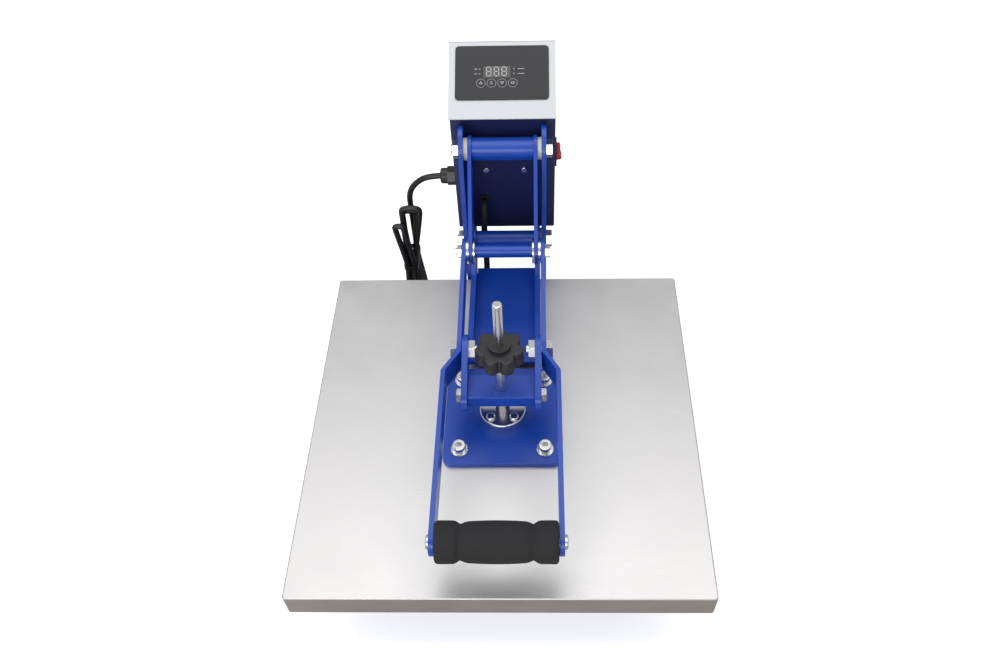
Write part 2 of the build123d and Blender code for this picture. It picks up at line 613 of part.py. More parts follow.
def housing():
    """The rear housing, its cover, and the electrics inside."""
    half, inner = HOUSING_HALF, HOUSING_HALF - SHEET
    shell = block(-half, half, HOUSING_FRONT_Y, REAR_Y - SHEET, HOUSING_BOTTOM, HOUSING_TOP)
    shell = fillet(shell.edges().filter_by(Axis.Z).group_by(Axis.Y)[0], 2.0)
    shell -= block(
        -inner, inner, HOUSING_FRONT_Y + SHEET, REAR_Y, HOUSING_BOTTOM + SHEET, HOUSING_TOP + 1
    )
    shell -= round_x(CORD_R + 3.0, -half - 1, -inner + 1, GLAND_YZ)
    ry, rz = ROCKER_YZ
    shell -= block(inner - 1, half + 1, ry - ROCKER_W / 2, ry + ROCKER_W / 2, rz - ROCKER_H / 2, rz + ROCKER_H / 2)
    shell -= Pos(LEAD_X, HOUSING_FRONT_Y, LEAD_EXIT_Z) * Rot(90, 0, 0) * Cylinder(LEAD_BUSH_R - 1, 4 * SHEET)
    screw_r, head_r, head_t = 2.0, 3.6, 2.0
    low, high = HOUSING_TOP - 77.0, HOUSING_TOP - 43.0
    spots = [(0, high), (-20.0, low), (22.0, low)]
    screws = []
    for x, z in spots:
        at = Pos(x, HOUSING_FRONT_Y, z) * Rot(90, 0, 0)
        shell -= at * Cylinder(screw_r + SCREW_FIT, 4 * SHEET)
        head = at * Pos(0, 0, head_t / 2) * Cylinder(head_r, head_t)
        head = fillet(head.edges().group_by(Axis.Y)[0], 1.0)
        screws.append(head + at * Pos(0, 0, -2.5) * Cylinder(screw_r, 5.0))
    back = block(-half, half, REAR_Y - SHEET, REAR_Y, HOUSING_BOTTOM, HOUSING_TOP)
    slot_l, slot_h, slots = 60.0, 4.0, 6
    for i in range(slots):
        z = HOUSING_BOTTOM + 33.0 + 11.0 * i
        back -= block(-slot_l / 2, slot_l / 2, REAR_Y - 2 * SHEET, REAR_Y + 1, z, z + slot_h)
    parts["rear_housing"] = shell
    parts["rear_cover"] = back
    parts["housing_screws"] = group(*screws)
    board_half, board_t, post = HOUSING_HALF - 16.0, 1.6, 8.0
    board_y = HOUSING_FRONT_Y + SHEET + post
    board_top = HOUSING_TOP - 9.0
    board = block(-board_half, board_half, board_y, board_y + board_t, board_top - 80.0, board_top)
    for i in range(3):
        x = (i - 1) * board_half * 0.65
        face = board_y + board_t
        board += block(x - 8, x + 8, face, face + 12.4, board_top - 34.0, board_top - 12.0)
    parts["controller_board"] = board
    relay_y, relay_z = REAR_Y - 29.0, HOUSING_BOTTOM + 6.0
    parts["power_relay"] = block(-22.0, 23.0, relay_y, relay_y + 22.0, relay_z, relay_z + 58.0)


def face_point(x, drop, rise):
    """A point on the sloping face: x across, drop from its upper edge, rise outwards."""
    slope = radians(FACE_SLOPE)
    y = REAR_Y - drop * cos(slope) - rise * sin(slope)
    return x, y, BOX_TOP - drop * sin(slope) + rise * cos(slope)


def face_place(x, drop, rise):
    """A frame on the sloping face, with Z along its outward normal."""
    return Pos(*face_point(x, drop, rise)) * Rot(FACE_SLOPE, 0, 0)


def control_box():
    """The silver box with its panel, display, buttons and lights."""
    half = HOUSING_HALF
    wedge = make_face(Polyline(
        (BOX_FRONT_Y, HOUSING_TOP), (REAR_Y, HOUSING_TOP), (REAR_Y, BOX_TOP), close=True
    ))
    solid = plate_x(wedge, -half, half)
    solid = fillet(solid.edges().filter_by(Axis.X).sort_by(Axis.Z)[-1:], 3.0)
    inner = make_face(Polyline(
        (BOX_FRONT_Y + 5.0, HOUSING_TOP - 1), (REAR_Y - SHEET, HOUSING_TOP - 1),
        (REAR_Y - SHEET, BOX_TOP - 3.2), (BOX_FRONT_Y + 5.0, HOUSING_TOP + 0.6), close=True,
    ))
    box = solid - plate_x(inner, -half + SHEET, half - SHEET)
    parts["control_box"] = box
    panel = extrude(RectangleRounded(PANEL_W, PANEL_H, PANEL_CORNER_R), amount=PANEL_T)
    panel = face_place(0, PANEL_DROP, 0) * panel
    window = Box(DISPLAY_W, DISPLAY_H, PANEL_T - 0.2, align=(Align.CENTER, Align.CENTER, Align.MIN))
    panel -= face_place(DISPLAY_X, DISPLAY_DROP, 0) * Box(DISPLAY_W + 0.4, DISPLAY_H + 0.4, 4 * PANEL_T)
    parts["display_window"] = face_place(DISPLAY_X, DISPLAY_DROP, 0) * window
    bottom = PANEL_T + BUTTON_PROUD - BUTTON_T
    for i, name in enumerate(BUTTONS):
        x = BUTTON_FIRST_X + i * BUTTON_PITCH
        panel -= face_place(x, BUTTON_DROP, 0) * Cylinder(BUTTON_R + BUTTON_GAP, 4 * PANEL_T)
        key = Cylinder(BUTTON_R, BUTTON_T, align=(Align.CENTER, Align.CENTER, Align.MIN))
        key = fillet(key.edges().group_by(Axis.Z)[-1], 0.4)
        parts[name] = face_place(x, BUTTON_DROP, bottom) * key
    lights = []
    for x in (LIGHT_LEFT_X, LIGHT_RIGHT_X):
        for row in range(2):
            drop = LIGHT_DROP + row * LIGHT_PITCH
            panel -= face_place(x, drop, 0) * Cylinder(LIGHT_R + 0.1, 4 * PANEL_T)
            lights.append(face_place(x, drop, 0) * Cylinder(
                LIGHT_R, PANEL_T + 0.3, align=(Align.CENTER, Align.CENTER, Align.MIN)
            ))
    parts["control_panel"] = panel
    parts["status_lights"] = group(*lights)


def rocker_switch():
    """The mains rocker in the right wall of the housing."""
    y, z = ROCKER_YZ
    w, h, rim = ROCKER_W / 2, ROCKER_H / 2, ROCKER_FRAME_RIM
    wall = HOUSING_HALF
    body = block(wall - ROCKER_BODY_DEPTH, wall, y - w + 0.1, y + w - 0.1, z - h + 0.1, z + h - 0.1)
    body += block(wall, wall + ROCKER_FRAME_T, y - w - rim, y + w + rim, z - h - rim, z + h + rim)
    well = block(wall - 9, wall + ROCKER_FRAME_T + 1, y - w + 1.2, y + w - 1.2, z - h + 1.2, z + h - 1.2)
    parts["rocker_frame"] = body - well
    disc = round_x(ROCKER_KEY_R, 0, 2 * (w - 1.2 - ROCKER_KEY_GAP), (0, 0))
    disc = Rot(0, 0, 90) * disc
    key_half = h - 1.2 - 1.4
    key = Pos(wall - ROCKER_AXLE_DEPTH, y - (w - 1.2 - ROCKER_KEY_GAP), z) * disc
    key &= block(wall - 5, wall + 30, y - w, y + w, z - key_half, z + key_half)
    notch = Pos(wall + ROCKER_KEY_R + 4.2, y, z) * Rot(90, 0, 0) * Cylinder(10.5, ROCKER_W)
    key -= notch
    axle = Pos(wall - ROCKER_AXLE_DEPTH, y, z)
    parts["rocker_key"] = axle * Rot(0, -ROCKER_SWING / 2, 0) * axle.inverse() * key


def tube_along(points, r, check="cord"):
    """A round tube along straight runs and tangent arcs as large as the runs allow."""
    pts = [Vector(*p) for p in points]
    radii = []
    for a, b, c in zip(pts, pts[1:], pts[2:]):
        turn = radians((b - a).get_angle(c - b))
        radii.append(0.45 * min((b - a).length, (c - b).length) / tan(turn / 2))
    path = FilletPolyline(*pts, radius=radii)
    start = Plane(origin=pts[0], z_dir=pts[1] - pts[0])
    tube = sweep(start * Circle(r), path=path)
    print(check, "length", round(path.length), "radii", [round(v) for v in radii])
    print(check, "volume ratio", round(tube.volume / (pi * r * r * path.length), 4))
    return tube, path


def hank_point(along, across, layer):
    """A point of the hank: up from the tie, across it, and its layer from the rear."""
    depth = (HANK_LAYERS - 1) / 2 - layer
    return HANK_X + across, HANK_Y + depth * HANK_LAYER, HANK_Z + along


def hank_path():
    """The hank's centre line: strands drawn in at the tie, joined by half turns."""
    edges = []

    def point(p):
        return Vector(*hank_point(*p))

    def arc(a, mid, b):
        edges.append(ThreePointArc(point(a), point(mid), point(b)))

    def bend(a, b):
        """Two tangent arcs that carry a strand sideways while it runs along."""
        length = abs(b[0] - a[0])
        side = (b[1] - a[1], (b[2] - a[2]) * HANK_LAYER)
        shift = sqrt(side[0] ** 2 + side[1] ** 2)
        turn = 2 * atan2(shift, length)
        radius = length / (2 * sin(turn))
        forward = 1 if b[0] > a[0] else -1

        def at(u, v):
            across = a[1] + side[0] / shift * v
            return a[0] + forward * u, across, a[2] + side[1] / shift * v / HANK_LAYER

        near = (radius * sin(turn / 2), radius * (1 - cos(turn / 2)))
        middle = (length / 2, shift / 2)
        far = (length - near[0], shift - near[1])
        arc(at(0, 0), at(*near), at(*middle))
        arc(at(*middle), at(*far), at(length, shift))

    bottom = CORD_R + HANK_FLOOR_GAP + HANK_TURN_R - HANK_Z
    right, left = HANK_WAIST, -HANK_WAIST
    edges.append(Line(point((HANK_ENTRY, right, 0)), point((0, right, 0))))
    for layer, (height, across, radius) in enumerate(HANK_TOPS):
        bend((0, right, layer), (bottom, HANK_TURN_R, layer))
        arc((bottom, HANK_TURN_R, layer), (bottom - HANK_TURN_R, 0, layer), (bottom, -HANK_TURN_R, layer))
        bend((bottom, -HANK_TURN_R, layer), (0, left, layer + 1))
        bend((0, left, layer + 1), (height, across - radius, layer + 1))
        arc(
            (height, across - radius, layer + 1),
            (height + radius, across, layer + 1),
            (height, across + radius, layer + 1),
        )
        bend((height, across + radius, layer + 1), (0, right, layer + 1))
    edges.append(Line(point((0, right, HANK_LAYERS - 1)), point((-7.0, right, HANK_LAYERS - 1))))
    return Wire([e for piece in edges for e in piece.edges()])


def least_gap(line, other, r, skip=0):
    """The least gap between two tubes' centre lines, or one line's distant stretches."""
    least = 1e9
    for i, a in enumerate(line):
        for b in (other[i + skip:] if skip else other):
            least = min(least, (a - b).length)
    return round(least - 2 * r, 2)


def sampled(path, count):
    """Evenly spaced points on a path."""
    return [path.position_at(i / count) for i in range(count + 1)]


def mains_cord():
    """The gland, the free stretch of cord, the tied hank and the plug."""
    y, z = GLAND_YZ
    wall = -HOUSING_HALF
    nut_l = GLAND_L * 0.55
    gland = hex_x(GLAND_NUT_R / HEX_TIP, wall - nut_l, wall, GLAND_YZ)
    dome = round_x(GLAND_DOME_R, wall - GLAND_L, wall - nut_l, GLAND_YZ)
    dome = fillet(dome.edges().group_by(Axis.X)[0], 3.0)
    gland += dome
    gland += round_x(CORD_R + 2.9, wall, wall + 8, GLAND_YZ)
    bore_end = wall - GLAND_L + 6
    gland -= round_x(CORD_R + 0.05, wall - GLAND_L - 1, bore_end, GLAND_YZ)
    parts["cord_gland"] = gland
    entry = hank_point(HANK_ENTRY, HANK_WAIST, 0)
    route = [
        (bore_end, y, z),
        (bore_end - 20.0, y, z),
        (entry[0] + 11.0, y + 3.0, z - 13.0),
        (entry[0] + 1.0, y + 8.0, z - 33.0),
        (entry[0], entry[1], entry[2] + 18.0),
        entry,
    ]
    cord, cord_path = tube_along(route, CORD_R)
    path = hank_path()
    section = Plane(origin=path.position_at(0), z_dir=path.tangent_at(0)) * Circle(CORD_R)
    hank = sweep(section, path=path)
    parts["power_cord_hank"] = hank
    ring_x = HANK_WAIST + CORD_R + TIE_GAP
    ring_y = (HANK_LAYERS - 1) / 2 * HANK_LAYER + CORD_R + TIE_GAP
    outer = RectangleRounded(2 * (ring_x + TIE_T), 2 * (ring_y + TIE_T), 4.0)
    ring = extrude(outer - RectangleRounded(2 * ring_x, 2 * ring_y, 3.2), amount=TIE_W / 2, both=True)
    parts["cord_tie"] = Pos(HANK_X, HANK_Y, HANK_Z) * ring
    end = hank_point(-7.0, HANK_WAIST, HANK_LAYERS - 1)
    lie = CORD_R + HANK_FLOOR_GAP
    axis_z = PLUG_R
    tail_route = [
        end,
        (end[0], end[1], 42.0),
        (end[0] - 0.5, end[1] - 11.0, 15.0),
        (end[0] - 3.0, end[1] - 31.0, lie),
        (end[0] - 12.0, end[1] - 48.0, lie + 1.2),
        (end[0] - 24.0, end[1] - 61.0, axis_z),
        (end[0] - 36.0, end[1] - 73.0, axis_z),
    ]
    tail, tail_path = tube_along(tail_route, CORD_R, "tail")
    parts["power_cord"] = group(cord, tail)
    turns = sampled(path, 900)
    print("hank length", round(path.length), "gap to itself", least_gap(turns, turns, CORD_R, 16))
    print("hank volume ratio", round(hank.volume / (pi * CORD_R ** 2 * path.length), 4))
    print("cord to hank", least_gap(sampled(cord_path, 120)[:-5], turns[5:], CORD_R))
    print("tail to hank", least_gap(sampled(tail_path, 120)[5:], turns[:-5], CORD_R))
    heading = Vector(*tail_route[-1]) - Vector(*tail_route[-2])
    plug_frame = Plane(origin=tail_route[-1], z_dir=heading, x_dir=(heading.Y, -heading.X, 0))
    relief = plug_frame * Pos(0, 0, -12.0) * Cone(CORD_R + 1.2, CORD_R + 3.0, 12.0, align=(
        Align.CENTER, Align.CENTER, Align.MIN))
    relief -= plug_frame * Pos(0, 0, -13.0) * Cylinder(CORD_R + 0.3, 13.0, align=(
        Align.CENTER, Align.CENTER, Align.MIN))
    sections = [
        plug_frame * Pos(0, 0, 0) * RectangleRounded(17.0, 13.0, 5.0),
        plug_frame * Pos(0, 0, PLUG_L) * RectangleRounded(34.0, 2 * PLUG_R - 0.2, 8.0),
    ]
    body = loft(sections)
    face = plug_frame.offset(PLUG_L)
    body += extrude(face * RectangleRounded(34.0, 2 * PLUG_R - 0.2, 8.0), amount=6.0)
    parts["plug_body"] = body + relief
    tip = plug_frame.offset(PLUG_L + 6.0)
    pins = []
    for side in (-1, 1):
        pin = tip * Pos(side * PIN_PITCH / 2, 0, 0) * Cylinder(PIN_R, PIN_L, align=(
            Align.CENTER, Align.CENTER, Align.MIN))
        pins.append(fillet(pin.edges().filter_by(GeomType.CIRCLE).sort_by(
            lambda e: (e.center() - tip.origin).length)[-1:], 1.2))
    parts["plug_pins"] = group(*pins)


def heater_lead():
    """The braided lead from the housing's front wall to the back of the cover."""
    x = LEAD_X
    bush = Pos(x, HOUSING_FRONT_Y, LEAD_EXIT_Z) * Rot(90, 0, 0) * (
        Cylinder(LEAD_BUSH_R - 1.05, 2 * SHEET + 1) + Pos(0, 0, LEAD_BUSH_T / 2) * Cylinder(LEAD_BUSH_R, LEAD_BUSH_T)
    )
    route = [
        (x, HOUSING_FRONT_Y - LEAD_BUSH_T, LEAD_EXIT_Z),
        (x, HOUSING_FRONT_Y - LEAD_BUSH_T - 13.0, LEAD_EXIT_Z),
        (x - 1.0, BACK_EDGE_Y + 37.0, LEAD_EXIT_Z - 24.0),
        (x - 1.0, BACK_EDGE_Y + 34.0, LEAD_EXIT_Z - 48.0),
        (x, BACK_EDGE_Y + 31.0, LEAD_ENTRY_Z + 16.0),
        (x, BACK_EDGE_Y + 21.0, LEAD_ENTRY_Z),
        (x, BACK_EDGE_Y + LEAD_BUSH_T, LEAD_ENTRY_Z),
    ]
    parts["heater_lead"], _ = tube_along(route, LEAD_R, "heater lead")
    parts["lead_bush"] = bush
    collar = Pos(x, BACK_EDGE_Y - COVER_WALL, LEAD_ENTRY_Z) * Rot(-90, 0, 0) * Cylinder(
        LEAD_BUSH_R - 0.05, LEAD_BUSH_T + COVER_WALL, align=(Align.CENTER, Align.CENTER, Align.MIN))
    parts["cover_bush"] = collar


base()
upper_platen()
pressure_screw()
arm()
links()
lever()
pivots()
housing()
control_box()
rocker_switch()
mains_cord()
heater_lead()
os.makedirs("parts", exist_ok=True)
for name, shape in parts.items():
    export_step(shape, f"parts/{name}.step")
print(len(parts), "nodes")
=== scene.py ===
"""Studio picture of a flat clamshell heat press, seen from the front and above."""

import json
import logging
import math
from dataclasses import dataclass
from enum import Enum

import bmesh
import bpy
from mathutils import Matrix, Vector


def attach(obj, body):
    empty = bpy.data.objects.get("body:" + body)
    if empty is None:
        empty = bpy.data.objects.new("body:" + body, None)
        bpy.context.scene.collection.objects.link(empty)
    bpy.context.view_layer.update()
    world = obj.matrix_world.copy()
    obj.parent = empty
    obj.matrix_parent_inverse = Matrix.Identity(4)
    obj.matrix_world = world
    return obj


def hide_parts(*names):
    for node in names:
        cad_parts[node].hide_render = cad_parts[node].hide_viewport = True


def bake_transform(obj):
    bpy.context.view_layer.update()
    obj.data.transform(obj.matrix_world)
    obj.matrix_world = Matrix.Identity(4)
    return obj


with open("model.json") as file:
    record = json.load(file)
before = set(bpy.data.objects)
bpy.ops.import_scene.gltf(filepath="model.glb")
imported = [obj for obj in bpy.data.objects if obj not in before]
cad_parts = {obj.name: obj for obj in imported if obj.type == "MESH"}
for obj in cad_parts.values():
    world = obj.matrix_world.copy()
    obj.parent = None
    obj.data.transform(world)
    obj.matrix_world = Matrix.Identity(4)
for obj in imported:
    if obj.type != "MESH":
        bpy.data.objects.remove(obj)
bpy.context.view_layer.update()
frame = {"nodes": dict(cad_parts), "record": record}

LOG = logging.getLogger("heat_press")
MM = 0.001

Point = tuple[float, float]
Place = tuple[float, float, float]


class Pattern(Enum):
    """The surface pattern of a finish."""

    PLAIN = "plain"
    BRUSHED = "brushed"
    POWDER = "powder"
    FOAM = "foam"
    BRAID = "braid"
    TURNED = "turned"


@dataclass(frozen=True)
class Finish:
    """A finish of one material slot.

    Args:
        slot: The material slot's name in the record.
        colour: Linear base colour.
        roughness: Mean roughness.
        metallic: 1 for bare metal.
        coat: Weight of a clear coat.
        pattern: The surface pattern.
        edge: Radius in metres of the softened edges in shading.
        strength: Depth of the pattern, from 0 to 1.
    """

    slot: str
    colour: tuple[float, float, float]
    roughness: float
    metallic: float = 0.0
    coat: float = 0.0
    pattern: Pattern = Pattern.PLAIN
    edge: float = 0.0004
    strength: float = 0.3


FINISHES: tuple[Finish, ...] = (
    Finish(
        "steel_blue", (0.002, 0.05, 0.37), 0.38, coat=0.15, pattern=Pattern.POWDER, edge=0.0007
    ),
    # housing_navy is the frame's blue made much darker: painted shade for the housing's overhung
    # front wall, which sits in shadow
    Finish("housing_navy", (0.01, 0.016, 0.085), 0.42, pattern=Pattern.POWDER, edge=0.0006),
    Finish(
        "brushed", (0.62, 0.605, 0.59), 0.46, metallic=1.0, pattern=Pattern.BRUSHED, edge=0.0008
    ),
    Finish(
        "zinc", (0.72, 0.72, 0.7), 0.2, metallic=1.0, pattern=Pattern.TURNED, edge=0.0003
    ),
    Finish("steel", (0.5, 0.5, 0.5), 0.3, metallic=1.0, pattern=Pattern.TURNED),
    Finish("alu", (0.7, 0.7, 0.69), 0.4, metallic=1.0, pattern=Pattern.TURNED),
    Finish("alu_coated", (0.05, 0.042, 0.036), 0.35),
    Finish("silicone", (0.55, 0.13, 0.045), 0.6, pattern=Pattern.POWDER),
    Finish("rubber", (0.018, 0.018, 0.018), 0.7, pattern=Pattern.POWDER),
    Finish("foam", (0.012, 0.012, 0.013), 0.82, pattern=Pattern.FOAM, strength=0.5),
    Finish(
        "black_plastic", (0.014, 0.014, 0.015), 0.38, pattern=Pattern.POWDER, strength=0.15
    ),
    Finish("nylon", (0.78, 0.7, 0.5), 0.45),
    Finish(
        "silver_paint", (0.5, 0.51, 0.52), 0.38, metallic=0.35, pattern=Pattern.POWDER, edge=0.0009
    ),
    Finish("panel", (0.012, 0.012, 0.013), 0.5),
    Finish("glass", (0.014, 0.004, 0.004), 0.12, coat=0.6),
    Finish("led", (0.2, 0.19, 0.18), 0.3, coat=0.3),
    Finish("red", (0.5, 0.012, 0.012), 0.3, coat=0.3),
    Finish("pvc", (0.012, 0.012, 0.013), 0.42, pattern=Pattern.POWDER, strength=0.1),
    Finish("braid", (0.02, 0.02, 0.022), 0.7, pattern=Pattern.BRAID, strength=0.7),
    Finish("brass", (0.78, 0.56, 0.25), 0.25, metallic=1.0),
    Finish("wool", (0.75, 0.7, 0.58), 0.95, pattern=Pattern.FOAM),
    Finish("pcb", (0.015, 0.12, 0.05), 0.4, coat=0.2),
)


@dataclass(frozen=True)
class Surface:
    """How a pattern shows on a finish.

    Args:
        scale: Noise scale along X, Y and Z, per metre.
        detail: Noise detail.
        bump: Height of the pattern in metres.
        rough_swing: How far the roughness moves to each side.
        tone_swing: Share by which the colour darkens and lightens.
    """

    scale: tuple[float, float, float]
    detail: float
    bump: float
    rough_swing: float = 0.06
    tone_swing: float = 0.06


SURFACES: dict[Pattern, Surface] = {
    Pattern.BRUSHED: Surface(
        (70.0, 2200.0, 900.0), 4.0, 0.00008, rough_swing=0.1, tone_swing=0.2
    ),
    Pattern.POWDER: Surface((1500.0, 1500.0, 1500.0), 2.0, 0.0002),
    Pattern.FOAM: Surface((1300.0, 1300.0, 1300.0), 5.0, 0.001),
    Pattern.BRAID: Surface((900.0, 900.0, 900.0), 1.0, 0.0016),
    Pattern.TURNED: Surface((700.0, 700.0, 700.0), 2.0, 0.00008),
}


class SurfaceGroup:
    """The shader group that every patterned finish shares."""

    BROAD_SCALE = 14.0
    BROAD_DETAIL = 3.0
    FINE_SHARE = 0.6
    BROAD_SHARE = 0.4

    def __init__(self) -> None:
        """Builds the group, with inputs Scale and Detail and outputs Height and Tone."""
        self.tree = bpy.data.node_groups.new("surface_pattern", "ShaderNodeTree")
        sockets = self.tree.interface
        sockets.new_socket("Scale", in_out="INPUT", socket_type="NodeSocketVector")
        sockets.new_socket("Detail", in_out="INPUT", socket_type="NodeSocketFloat")
        for name in ("Height", "Tone"):
            sockets.new_socket(name, in_out="OUTPUT", socket_type="NodeSocketFloat")
        nodes, links = self.tree.nodes, self.tree.links
        values = nodes.new("NodeGroupInput")
        out = nodes.new("NodeGroupOutput")
        coords = nodes.new("ShaderNodeTexCoord")
        mapping = nodes.new("ShaderNodeMapping")
        links.new(values.outputs["Scale"], mapping.inputs["Scale"])
        links.new(coords.outputs["Object"], mapping.inputs["Vector"])
        fine = nodes.new("ShaderNodeTexNoise")
        fine.inputs["Scale"].default_value = 1.0
        links.new(values.outputs["Detail"], fine.inputs["Detail"])
        links.new(mapping.outputs["Vector"], fine.inputs["Vector"])
        broad = nodes.new("ShaderNodeTexNoise")
        broad.inputs["Scale"].default_value = self.BROAD_SCALE
        broad.inputs["Detail"].default_value = self.BROAD_DETAIL
        links.new(coords.outputs["Object"], broad.inputs["Vector"])
        weak = nodes.new("ShaderNodeMath")
        weak.operation = "MULTIPLY"
        weak.inputs[1].default_value = self.BROAD_SHARE
        links.new(broad.outputs["Fac"], weak.inputs[0])
        mix = nodes.new("ShaderNodeMath")
        mix.operation = "MULTIPLY_ADD"
        mix.inputs[1].default_value = self.FINE_SHARE
        links.new(fine.outputs["Fac"], mix.inputs[0])
        links.new(weak.outputs[0], mix.inputs[2])
        links.new(fine.outputs["Fac"], out.inputs["Height"])
        links.new(mix.outputs[0], out.inputs["Tone"])


class MaterialLibrary:
    """Builds and hands out one material for each finish."""

    COAT_ROUGHNESS = 0.15
    EDGE_SAMPLES = 4
    TONE_RANGE = (0.3, 0.7)

    def __init__(self, finishes: tuple[Finish, ...]) -> None:
        """Builds every material.

        Args:
            finishes: The finishes.
        """
        self._group = SurfaceGroup()
        self._made = {finish.slot: self._build(finish) for finish in finishes}

    def __getitem__(self, slot: str) -> bpy.types.Material:
        """The material of a slot."""
        return self._made[slot]

    def _build(self, finish: Finish) -> bpy.types.Material:
        """Makes the material of one finish.

        Args:
            finish: The finish.

        Returns:
            The material.
        """
        material = bpy.data.materials.new(f"finish_{finish.slot}")
        material.use_nodes = True
        nodes = material.node_tree.nodes
        shader = nodes["Principled BSDF"]
        shader.inputs["Base Color"].default_value = (*finish.colour, 1.0)
        shader.inputs["Roughness"].default_value = finish.roughness
        shader.inputs["Metallic"].default_value = finish.metallic
        shader.inputs["Coat Weight"].default_value = finish.coat
        shader.inputs["Coat Roughness"].default_value = self.COAT_ROUGHNESS
        edge = nodes.new("ShaderNodeBevel")
        edge.samples = self.EDGE_SAMPLES
        edge.inputs["Radius"].default_value = finish.edge
        normal = edge.outputs["Normal"]
        if finish.pattern is not Pattern.PLAIN:
            normal = self._texture(material.node_tree, finish, normal)
        material.node_tree.links.new(normal, shader.inputs["Normal"])
        return material

    def _texture(self, tree: bpy.types.NodeTree, finish: Finish,
                 normal: bpy.types.NodeSocket) -> bpy.types.NodeSocket:
        """Adds a finish's pattern to its material.

        Args:
            tree: The material's nodes.
            finish: The finish.
            normal: The normal that the pattern bumps.

        Returns:
            The bumped normal.
        """
        surface = SURFACES[finish.pattern]
        nodes, links = tree.nodes, tree.links
        shader = nodes["Principled BSDF"]
        group = nodes.new("ShaderNodeGroup")
        group.node_tree = self._group.tree
        group.inputs["Scale"].default_value = surface.scale
        group.inputs["Detail"].default_value = surface.detail
        bump = nodes.new("ShaderNodeBump")
        bump.inputs["Strength"].default_value = finish.strength
        bump.inputs["Distance"].default_value = surface.bump
        links.new(group.outputs["Height"], bump.inputs["Height"])
        links.new(normal, bump.inputs["Normal"])
        spread = nodes.new("ShaderNodeMapRange")
        low, high = self.TONE_RANGE
        spread.inputs["From Min"].default_value = low
        spread.inputs["From Max"].default_value = high
        spread.inputs["To Min"].default_value = finish.roughness - surface.rough_swing
        spread.inputs["To Max"].default_value = finish.roughness + surface.rough_swing
        links.new(group.outputs["Tone"], spread.inputs["Value"])
        links.new(spread.outputs["Result"], shader.inputs["Roughness"])
        tone = nodes.new("ShaderNodeMix")
        tone.data_type = "RGBA"
        for socket, share in (("A", 1 - surface.tone_swing), ("B", 1 + surface.tone_swing)):
            colour = (min(1.0, channel * share) for channel in finish.colour)
            tone.inputs[socket].default_value = (*colour, 1.0)
        links.new(group.outputs["Tone"], tone.inputs["Factor"])
        links.new(tone.outputs["Result"], shader.inputs["Base Color"])
        return bump.outputs["Normal"]


def print_paint(name: str, colour: tuple[float, float, float],
                glow: float) -> bpy.types.Material:
    """A material for printed marks and digits.

    Args:
        name: The material's name.
        colour: Linear colour.
        glow: Emission strength.

    Returns:
        The material.
    """
    material = bpy.data.materials.new(name)
    material.use_nodes = True
    shader = material.node_tree.nodes["Principled BSDF"]
    shader.inputs["Base Color"].default_value = (*colour, 1.0)
    shader.inputs["Emission Color"].default_value = (*colour, 1.0)
    shader.inputs["Emission Strength"].default_value = glow
    return material


def add_mesh(name: str, mesh: bmesh.types.BMesh, material: bpy.types.Material,
             body: str) -> bpy.types.Object:
    """Adds a mesh that rides on a body.

    Args:
        name: Object name.
        mesh: The geometry, in the row frame.
        material: Its material.
        body: The CAD body that it moves with.

    Returns:
        The object.
    """
    data = bpy.data.meshes.new(name)
    mesh.to_mesh(data)
    mesh.free()
    data.materials.append(material)
    piece = bpy.data.objects.new(name, data)
    bpy.context.scene.collection.objects.link(piece)
    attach(piece, body)
    LOG.info("added %s", name)
    return piece


@dataclass(frozen=True)
class FaceFrame:
    """The sloping face of the control box, in millimetres.

    Args:
        rear_y: Rear edge.
        top_z: Upper edge's height.
        run: Depth of the face along Y.
        rise: Height of the face.
    """

    rear_y: float = 257.0
    top_z: float = 350.0
    run: float = 79.0
    rise: float = 45.0

    @property
    def slope(self) -> float:
        """The face's angle to the floor."""
        return math.atan2(self.rise, self.run)

    @property
    def outward(self) -> Vector:
        """The direction away from the face."""
        return Vector((0.0, -math.sin(self.slope), math.cos(self.slope)))

    def place(self, x: float, drop: float, lift: float) -> Vector:
        """A point of the face.

        Args:
            x: Place across the face.
            drop: Distance down the face from its upper edge.
            lift: Distance outwards from the face.

        Returns:
            The point in metres.
        """
        down = Vector((0.0, -math.cos(self.slope), -math.sin(self.slope)))
        corner = Vector((x, self.rear_y, self.top_z))
        return (corner + down * drop + self.outward * lift) * MM


@dataclass(frozen=True)
class PrintSize:
    """Sizes of the panel's print, in millimetres.

    Args:
        digit_left: Left strokes of the first digit.
        digit_top: The digits' top strokes, down from the face's upper edge.
        digit_pitch: Distance from one digit to the next.
        digit_width: Distance between a digit's upright strokes.
        digit_height: Distance between its top and bottom strokes.
        flat_length: Length of a level stroke.
        upright_length: Length of an upright stroke.
        digit_stroke: Width of the digits' strokes.
        digit_lift: The digits' height above the face.
        button_xs: Centres of the buttons.
        button_drop: The buttons' centres, down from the face's upper edge.
        ring_r: Radius of the ring round a button.
        ring_stroke: Width of the ring.
        ring_steps: Number of strokes in the ring.
        mark_drops: Places of the rows of small marks.
        mark_spans: Left and right end of each mark.
        mark_stroke: Width of the marks.
        print_lift: Height of rings and marks above the face.
        symbol_stroke: Width of the symbols' strokes.
        symbol_lift: The symbols' height above the face.
        thickness: Thickness of the print.
    """

    digit_left: float = -16.0
    digit_top: float = 33.6
    digit_pitch: float = 8.0
    digit_width: float = 4.6
    digit_height: float = 9.6
    flat_length: float = 3.68
    upright_length: float = 3.84
    digit_stroke: float = 0.95
    digit_lift: float = 1.55
    button_xs: tuple[float, ...] = (-22.0, -10.9, 0.2, 11.3)
    button_drop: float = 51.3
    ring_r: float = 4.6
    ring_stroke: float = 0.35
    ring_steps: int = 24
    mark_drops: tuple[float, ...] = (35.6, 41.0)
    mark_spans: tuple[tuple[float, float], ...] = ((-29.0, -25.4), (16.5, 23.5))
    mark_stroke: float = 0.6
    print_lift: float = 1.65
    symbol_stroke: float = 0.55
    symbol_lift: float = 2.16
    thickness: float = 0.05


